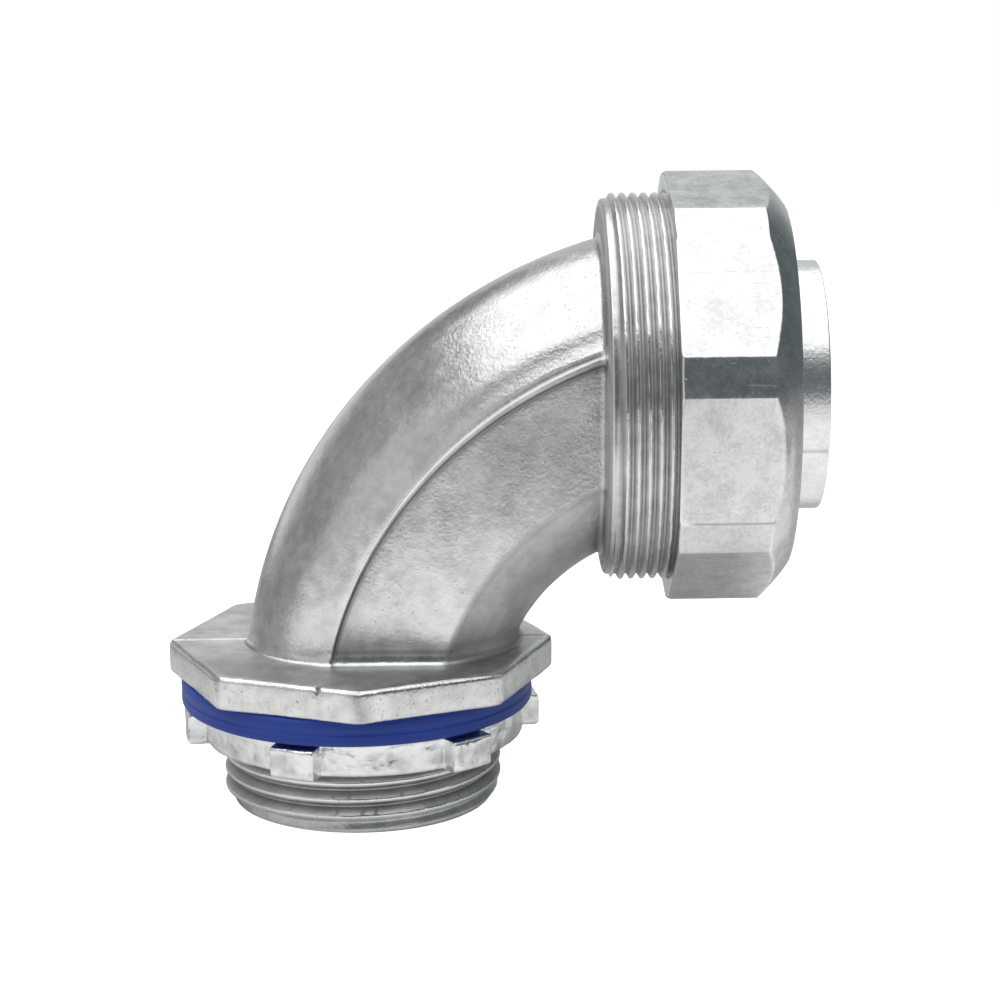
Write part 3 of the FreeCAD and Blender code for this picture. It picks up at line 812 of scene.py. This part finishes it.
def turnedSheet(corners, axisName, columns, offset=0.0):
    # a closed profile of corners carried round an axis
    line = roundedLine(corners + corners[:1])
    angle = np.linspace(0.0, 360.0, columns, endpoint=False)[None, :]
    points = turned(line, angle, axisName)
    points[..., 0] += offset
    return sheet(points, line[:, 2:3])


def gasketSheet():
    # a ring with rounded edges and a fine groove round its middle, a little off the hub's axis
    middle = -gasket["thickness"] / 2
    outer = gasket["radius"]
    groove = gasket["groove"]
    corners = [
        (middle, gasket["boreRadius"], 0),
        (0.0, gasket["boreRadius"], 0.4),
        (0.0, outer, 0.75),
        (middle + 0.45, outer, 0.25),
        (middle + 0.1, outer - groove, 0.12),
        (middle - 0.1, outer - groove, 0.12),
        (middle - 0.45, outer, 0.25),
        (-gasket["thickness"], outer, 0.75),
        (-gasket["thickness"], gasket["boreRadius"], 0.4),
    ]
    return turnedSheet(corners, "hub", 160, -gasket["offset"])


def ringSheet():
    # a short cylinder, tapered in front where it meets the nut's seat
    start = ring["start"]
    return turnedSheet([
        (start + 2.0, ring["boreRadius"], 0),
        (start, ring["boreRadius"], 0.4),
        (start, ring["radius"], 0.4),
        (start + ring["land"], ring["radius"], 0.5),
        (start + ring["length"], ring["frontRadius"], 0.4),
        (start + ring["length"], ring["boreRadius"], 0.4),
    ], "gland", 128)


def ferruleSheet():
    # a cup that holds the conduit's end, round a sleeve that goes up its bore
    start = ferrule["start"]
    end = ferrule["end"]
    made = turnedSheet([
        (start + 8.0, ferrule["innerRadius"], 0),
        (start, ferrule["innerRadius"], 0.4),
        (start, ferrule["cupRadius"], 0.7),
        (ferrule["cupEnd"], ferrule["cupRadius"], 0.4),
        (ferrule["cupEnd"], ferrule["cupBoreRadius"], 0.4),
        (start + ferrule["wall"], ferrule["cupBoreRadius"], 0.6),
        (start + ferrule["wall"], ferrule["sleeveRadius"], 0.6),
        (end, ferrule["sleeveRadius"], 0.25),
        (end, ferrule["innerRadius"], 0.3),
    ], "gland", 360)
    # the rolled sleeve's seam is a thin line low on its near side
    around = np.linspace(0.0, 360.0, 360, endpoint=False)[None, :]
    made["grime"] = np.broadcast_to(bump(around, ferrule["seamAngle"], 0.7), made["points"].shape[:2])
    return made


class Wire:
    # a shader socket that takes part in Python expressions; each operator adds a Math node
    def __init__(self, tree, socket):
        self.tree = tree
        self.socket = socket

    def node(self, kind, settings=None, inputs=None, output=0):
        made = self.tree.nodes.new(kind)
        for key, value in (settings or {}).items():
            setattr(made, key, value)
        for key, value in (inputs or {}).items():
            if isinstance(value, Wire):
                self.tree.links.new(value.socket, made.inputs[key])
            else:
                made.inputs[key].default_value = value
        return Wire(self.tree, made.outputs[output])

    def maths(self, operation, first, second=0.0):
        return self.node("ShaderNodeMath", {"operation": operation}, {0: first, 1: second})

    def __add__(self, other):
        return self.maths("ADD", self, other)

    def __sub__(self, other):
        return self.maths("SUBTRACT", self, other)

    def __rsub__(self, other):
        return self.maths("SUBTRACT", other, self)

    def __mul__(self, other):
        return self.maths("MULTIPLY", self, other)

    __radd__ = __add__
    __rmul__ = __mul__

    def attribute(self, name):
        return self.node("ShaderNodeAttribute", {"attribute_name": name}, output=2)

    def axes(self):
        # the three shares of a vector
        parts = self.node("ShaderNodeSeparateXYZ", {}, {0: self}).socket.node.outputs
        return (Wire(self.tree, parts[key]) for key in "XYZ")

    def vectorMaths(self, operation, first, second=(0.0, 0.0, 0.0), output=0):
        return self.node("ShaderNodeVectorMath", {"operation": operation}, {0: first, 1: second}, output)

    def rays(self, kind):
        # 1 for rays of this kind and 0 for the others
        return Wire(self.tree, self.node("ShaderNodeLightPath").socket.node.outputs[kind])

    def absolute(self):
        return self.maths("ABSOLUTE", self)

    def between(self, low, high):
        # 0 at low, 1 at high and an S curve between; low may be the larger
        return self.node("ShaderNodeMapRange", {"interpolation_type": "SMOOTHSTEP"},
                         {"Value": self, "From Min": low, "From Max": high})

    def mixed(self, first, second):
        # the first colour where this is 0 and the second where it is 1
        first, second = (part if isinstance(part, Wire) else (*part, 1.0) for part in (first, second))
        return self.node("ShaderNodeMix", {"data_type": "RGBA"}, {0: self, 6: first, 7: second}, 2)


black = (0.0, 0.0, 0.0)
white = (1.0, 1.0, 1.0)


def startMaterial(name):
    # an empty material, its Principled shader and the place on the piece in metres
    material = bpy.data.materials.new(name)
    material.use_nodes = True
    place = Wire(material.node_tree, None).node("ShaderNodeTexCoord", output=3)
    return material, material.node_tree.nodes["Principled BSDF"], place


def makeMaterial(look, metallic):
    # the material of a look, which is a function from the place in millimetres to the base colour,
    # the roughness and the height in millimetres
    material, shader, place = startMaterial(look.__name__)
    millimetres = place.node("ShaderNodeVectorMath", {"operation": "SCALE"}, {0: place, "Scale": 1 / metre})
    base, rough, height = look(millimetres)
    normal = height.node("ShaderNodeBump", {}, {"Strength": 1.0, "Distance": metre, "Height": height})
    for key, wire in (("Base Color", base), ("Roughness", rough), ("Normal", normal)):
        wire.tree.links.new(wire.socket, shader.inputs[key])
    shader.inputs["Metallic"].default_value = metallic
    return material


def noise(place, scale, detail=2.0, rough=0.5):
    return place.node("ShaderNodeTexNoise", {}, {"Vector": place, "Scale": scale, "Detail": detail,
                                                 "Roughness": rough})


def pores(place, scale, limit, more=0.0):
    # ragged pits where a fine noise passes a limit; more, from 0 to 1, lowers the limit
    return (noise(place, scale, 3.0, 0.65) + more * 0.1).between(limit, limit + 0.06)


def stretched(place, along, across, tilt):
    # the place drawn out along one direction, for scratches
    return place.node("ShaderNodeMapping", {}, {"Vector": place, "Rotation": tilt,
                                                "Scale": (along, across, across)})


castLook = {
    "light": (0.89, 0.88, 0.87),
    "dark": (0.62, 0.62, 0.61),
    "worn": (0.94, 0.93, 0.92),
    # the dark colour of a stain and of painted shade
    "grime": (0.12, 0.135, 0.128),
    "pit": (0.36, 0.37, 0.36),
    "roughness": 0.21,
    "grain": 0.085,
    "pitDepth": 0.045,
}


def castZinc(place):
    # satin casting: sandy grain, ragged pits in clusters, a mottled tone, brighter worn edges, and one dark
    # colour for a stain and for painted shade in creases, recesses and thread flanks
    wear = place.attribute("wear")
    grime = place.attribute("grime")
    pitted = place.attribute("rough")
    matt = place.attribute("matt")
    mottle = noise(place, 0.13, 4.0, 0.6)
    patches = noise(place, 0.5, 5.0, 0.65)
    grain = noise(place, 1.9, 3.0, 0.55)
    cluster = noise(place, 0.16, 3.0, 0.6).between(0.46, 0.66)
    sandy = 0.16 + pitted * 0.84 + cluster * 0.3
    pitting = pores(place, 2.3, 0.69, cluster * 0.3 + pitted * 0.8)
    tone = (mottle * 0.9 + patches * 0.8 - 0.35 - pitted * 0.08).between(0.22, 0.78)
    base = tone.mixed(castLook["dark"], castLook["light"])
    base = (pitting * 0.6).mixed(base, castLook["pit"])
    base = (grime * 0.8).mixed(base, castLook["grime"])
    base = (wear * 0.8).mixed(base, castLook["worn"])
    rough = castLook["roughness"] + 0.14 * (patches - 0.5) + 0.12 * (mottle - 0.5) + 0.15 * grime
    rough = rough + 0.12 * pitted + 0.1 * pitting - 0.12 * wear + 0.4 * matt
    height = grain * sandy * castLook["grain"] + patches * 0.05 - pitting * castLook["pitDepth"]
    return base, rough, height


nutLook = {
    "light": (0.86, 0.86, 0.86),
    "dark": (0.62, 0.62, 0.62),
    "worn": (0.93, 0.93, 0.93),
    "spot": (0.25, 0.28, 0.28),
    "roughness": 0.24,
}


def nutZinc(place):
    # bright casting: faint mottling, small dents, scattered dark specks, fine scratches and parting lines
    wear = place.attribute("wear")
    grime = place.attribute("grime")
    mottle = noise(place, 0.25, 5.0, 0.65)
    fine = noise(place, 1.8, 4.0, 0.65)
    specks = pores(place, 2.2, 0.69)
    scratch = noise(stretched(place, 0.1, 2.6, (0.7, 0.2, 0.4)), 1.0, 2.0).between(0.68, 0.73)
    tone = (mottle * 1.0 + fine * 0.7 - 0.35).between(0.25, 0.7)
    base = tone.mixed(nutLook["dark"], nutLook["light"])
    base = (specks * 0.6).mixed(base, nutLook["spot"])
    base = (grime * 0.8).mixed(base, nutLook["spot"])
    base = (wear * 0.7).mixed(base, nutLook["worn"])
    rough = nutLook["roughness"] + 0.14 * (mottle - 0.5) + 0.1 * (fine - 0.5) - 0.05 * wear + 0.1 * scratch
    height = mottle * 0.06 + fine * 0.012 - specks * 0.04 - scratch * 0.008 - grime * 0.05
    return base, rough, height


def locknutZinc(place):
    # rough casting: crumpled skin, deep pits, bright bruised edges, and a painted shadow under the gasket
    wear = place.attribute("wear")
    grime = place.attribute("grime")
    mottle = noise(place, 0.22, 2.0, 0.45)
    lumps = noise(place, 0.5, 3.0, 0.5)
    pitting = pores(place, 1.2, 0.68)
    tone = (mottle * 0.9 + lumps * 0.8 - 0.35).between(0.25, 0.65)
    base = tone.mixed((0.6, 0.61, 0.61), (0.94, 0.94, 0.93))
    base = (pitting * 0.4 + grime * 0.5).mixed(base, (0.2, 0.21, 0.21))
    base = (wear * 0.7).mixed(base, (0.93, 0.93, 0.92))
    rough = 0.3 + 0.18 * (mottle - 0.5) - 0.06 * wear
    height = lumps * 0.25 + mottle * 0.75 - pitting * 0.06
    return base, rough, height


def ferruleSteel(place):
    # plated steel: a mottled, slightly dimpled plating and a dark seam
    wear = place.attribute("wear")
    grime = place.attribute("grime")
    mottle = noise(place, 0.5, 5.0, 0.7)
    speckle = noise(place, 1.8, 3.0, 0.7)
    tone = (mottle * 0.8 + speckle * 0.7 - 0.3).between(0.2, 0.7)
    base = tone.mixed((0.8, 0.8, 0.8), (0.98, 0.98, 0.98))
    base = (grime * 0.7).mixed(base, (0.3, 0.31, 0.32))
    base = (wear * 0.5).mixed(base, (0.93, 0.93, 0.93))
    rough = 0.26 + 0.12 * (speckle - 0.5)
    height = speckle * 0.035 + mottle * 0.05 - grime * 0.04
    return base, rough, height


def blueGasket(place):
    # flexible blue ring: smooth and cloudy, and painted lighter at its rounded edges as light showing through
    # them
    wear = place.attribute("wear")
    cloud = noise(place, 0.25, 3.0)
    cloudAndEdgeLight = (cloud * 0.6 + wear * 0.5).between(0.0, 1.2)
    base = cloudAndEdgeLight.mixed((0.014, 0.05, 0.39), (0.028, 0.1, 0.55))
    rough = 0.42 + 0.1 * (cloud - 0.5)
    height = noise(place, 1.2, 3.0) * 0.012
    return base, rough, height


def naturalNylon(place):
    # unpigmented nylon: ivory, slightly cloudy
    cloud = noise(place, 0.3, 3.0)
    base = cloud.mixed((0.66, 0.63, 0.53), (0.76, 0.74, 0.65))
    rough = 0.42 + 0.08 * (cloud - 0.5)
    height = noise(place, 2.0, 2.0) * 0.006
    return base, rough, height


buildPiece("elbowCasting", [bendSheet(), flangeSheet(), hubSheet(), passageSheet(), bossSheet()],
           "elbow", "elbow_body", castZinc)
buildPiece("glandNut", [nutSheet()], "nut", "gland_nut", nutZinc, sharpAngle=50.0)
buildPiece("gripRing", [ringSheet()], "ring", "compression_ring", naturalNylon, 0.0)
buildPiece("ferruleSleeve", [ferruleSheet()], "elbow", "ferrule", ferruleSteel)
buildPiece("sealingGasket", [gasketSheet()], "gasket", "hub_gasket", blueGasket, 0.0)
buildPiece("lugLocknut", [locknutSheet()], "hub_locknut", "locknut", locknutZinc)
print("pieces built")

# The studio: a white floor, one wide lamp overhead and forward, and a dim room that is lighter
# to the left and low down at the back.
studio = {
    "floorHeight": -19.25,
    "floorSize": 1.3,
    "lampPlace": (0.01, -0.01, 0.55),
    "lampSize": (0.88, 1.12),
    "lampPower": 4.0,
    "lampTurn": -6.0,
    "roomColour": (0.115, 0.135, 0.138),
    "frontLeftColour": (0.56, 0.56, 0.56),
    "backLeftColour": (0.32, 0.323, 0.334),
    "backColour": (0.52, 0.55, 0.55),
    "horizonColour": (0.7, 0.71, 0.71),
    # painted light and shade in the floor's grey: lighter near the object, darker far off and at the left
    "nearFloorPaintedLight": (0.56, 0.56, 0.56),
    "farFloorPaintedShade": (0.42, 0.42, 0.42),
    "leftFloorPaintedShade": (0.38, 0.38, 0.39),
    "nearReach": (0.08, 0.4),
    "shinePlace": (-0.02, 0.075, 0.0),
    "shineSqueeze": (0.43, 1.0, 1.0),
    "shineReach": (0.03, 0.09),
    "floorShine": 0.5,
    "leftAcross": (-0.07, -0.14),
    "leftDeep": (-0.1, -0.02),
    "besideAcross": (0.055, 0.075),
    "besideDeep": (0.06, 0.02),
    "besideSlant": 0.15,
    "roomLeft": (-0.1, -0.7),
    "roomFront": (-0.19, -0.28),
    "backDeep": (0.35, 0.75),
    "backRight": (0.65, 0.3),
    "backLeft": (-0.35, -0.1),
    "horizonDeep": (0.5, 0.8),
    "horizonHeight": (0.28, 0.1),
    "horizonRight": (0.4, 0.0),
}


def paleFloor():
    # white to the camera; to the metal's reflections it shows painted light and shade: a grey that is lighter
    # near the object and darker far off and at the left, and painted glowing patches in front of the object
    # and beside it, where the metal mirrors the floor most strongly
    material, shader, place = startMaterial("paleFloor")
    tree = material.node_tree
    shader.inputs["Roughness"].default_value = 0.9
    moved = place.vectorMaths("ADD", place, studio["shinePlace"])
    oval = place.vectorMaths("MULTIPLY", moved, studio["shineSqueeze"])
    far = place.vectorMaths("LENGTH", place, output=1).between(*studio["nearReach"])
    near = 1.0 - oval.vectorMaths("LENGTH", oval, output=1).between(*studio["shineReach"])
    across, deep, _height = place.axes()
    toLeft = across.between(*studio["leftAcross"]) * deep.between(*studio["leftDeep"])
    slanted = deep + studio["besideSlant"] * across
    beside = across.absolute().between(*studio["besideAcross"]) * slanted.between(*studio["besideDeep"])
    near = near.maths("MAXIMUM", near, beside)
    base = far.mixed(studio["nearFloorPaintedLight"], studio["farFloorPaintedShade"])
    base = toLeft.mixed(base, studio["leftFloorPaintedShade"])
    tree.links.new(base.socket, shader.inputs["Base Color"])
    shining = place.rays("Is Glossy Ray") * near * (1.0 - toLeft) * studio["floorShine"]
    glow = (place.rays("Is Camera Ray") + shining).mixed(black, white)
    shine = place.node("ShaderNodeEmission", {}, {"Color": glow, "Strength": 1.0})
    both = place.node("ShaderNodeAddShader", {}, {0: Wire(tree, shader.outputs[0]), 1: shine})
    tree.links.new(both.socket, tree.nodes["Material Output"].inputs["Surface"])
    return material


floorMesh = bpy.data.meshes.new("floor")
half = studio["floorSize"] / 2
level = studio["floorHeight"] * metre
floorCorners = [(-half, -half, level), (half, -half, level), (half, half, level), (-half, half, level)]
floorMesh.from_pydata(floorCorners, [], [(0, 1, 2, 3)])
floorMesh.materials.append(paleFloor())
floor = placed("floor", floorMesh)

lamp = bpy.data.lights.new("overheadLamp", "AREA")
lamp.shape = "RECTANGLE"
lamp.size, lamp.size_y = studio["lampSize"]
lamp.energy = studio["lampPower"]
lampHolder = placed("overheadLamp", lamp)
lampHolder.location = studio["lampPlace"]
lampHolder.rotation_euler = (0.0, 0.0, math.radians(studio["lampTurn"]))

world = bpy.data.worlds.new("room")
scene.world = world
world.use_nodes = True
background = world.node_tree.nodes["Background"]
direction = Wire(world.node_tree, None).node("ShaderNodeTexCoord")
toRight, toBack, upward = direction.axes()
leftShare = toRight.between(*studio["roomLeft"])
frontShare = toBack.between(*studio["roomFront"])
backShare = toBack.between(*studio["backDeep"]) * toRight.between(*studio["backRight"])
backShare = backShare * toRight.between(*studio["backLeft"])
horizonShare = toBack.between(*studio["horizonDeep"]) * upward.between(*studio["horizonHeight"])
horizonShare = horizonShare * toRight.between(*studio["horizonRight"])
room = frontShare.mixed(studio["backLeftColour"], studio["frontLeftColour"])
room = leftShare.mixed(studio["roomColour"], room)
room = backShare.mixed(room, studio["backColour"])
room = horizonShare.mixed(room, studio["horizonColour"])
room = direction.rays("Is Camera Ray").mixed(room, white)
world.node_tree.links.new(room.socket, background.inputs["Color"])
background.inputs["Strength"].default_value = 1.0

# The camera, from the photograph: its angles in degrees and its place in millimetres.
view = {
    "yaw": 1.41,
    "pitch": 13.12,
    "roll": -0.43,
    "focalPixels": 2979.0,
    "framePixels": 1000.0,
    "place": (10.458, -432.886, 126.875),
    "sensor": 36.0,
}

camera = bpy.data.cameras.new("photoCamera")
camera.sensor_width = view["sensor"]
camera.lens = view["focalPixels"] / view["framePixels"] * view["sensor"]
camera.clip_start = 0.01
camera.clip_end = 20.0
yaw, pitch, roll = (math.radians(view[key]) for key in ("yaw", "pitch", "roll"))
forward = Vector((math.sin(yaw) * math.cos(pitch), math.cos(yaw) * math.cos(pitch), -math.sin(pitch)))
sideways = Vector((math.cos(yaw), -math.sin(yaw), 0.0))
upright = sideways.cross(forward)
right = math.cos(roll) * sideways + math.sin(roll) * upright
above = -math.sin(roll) * sideways + math.cos(roll) * upright
turn = Matrix((right, above, -forward)).transposed()
scene.camera = placed("photoCamera", camera)
scene.camera.matrix_world = Matrix.Translation(Vector(view["place"]) * metre) @ turn.to_4x4()
scene.view_settings.view_transform = "Standard"
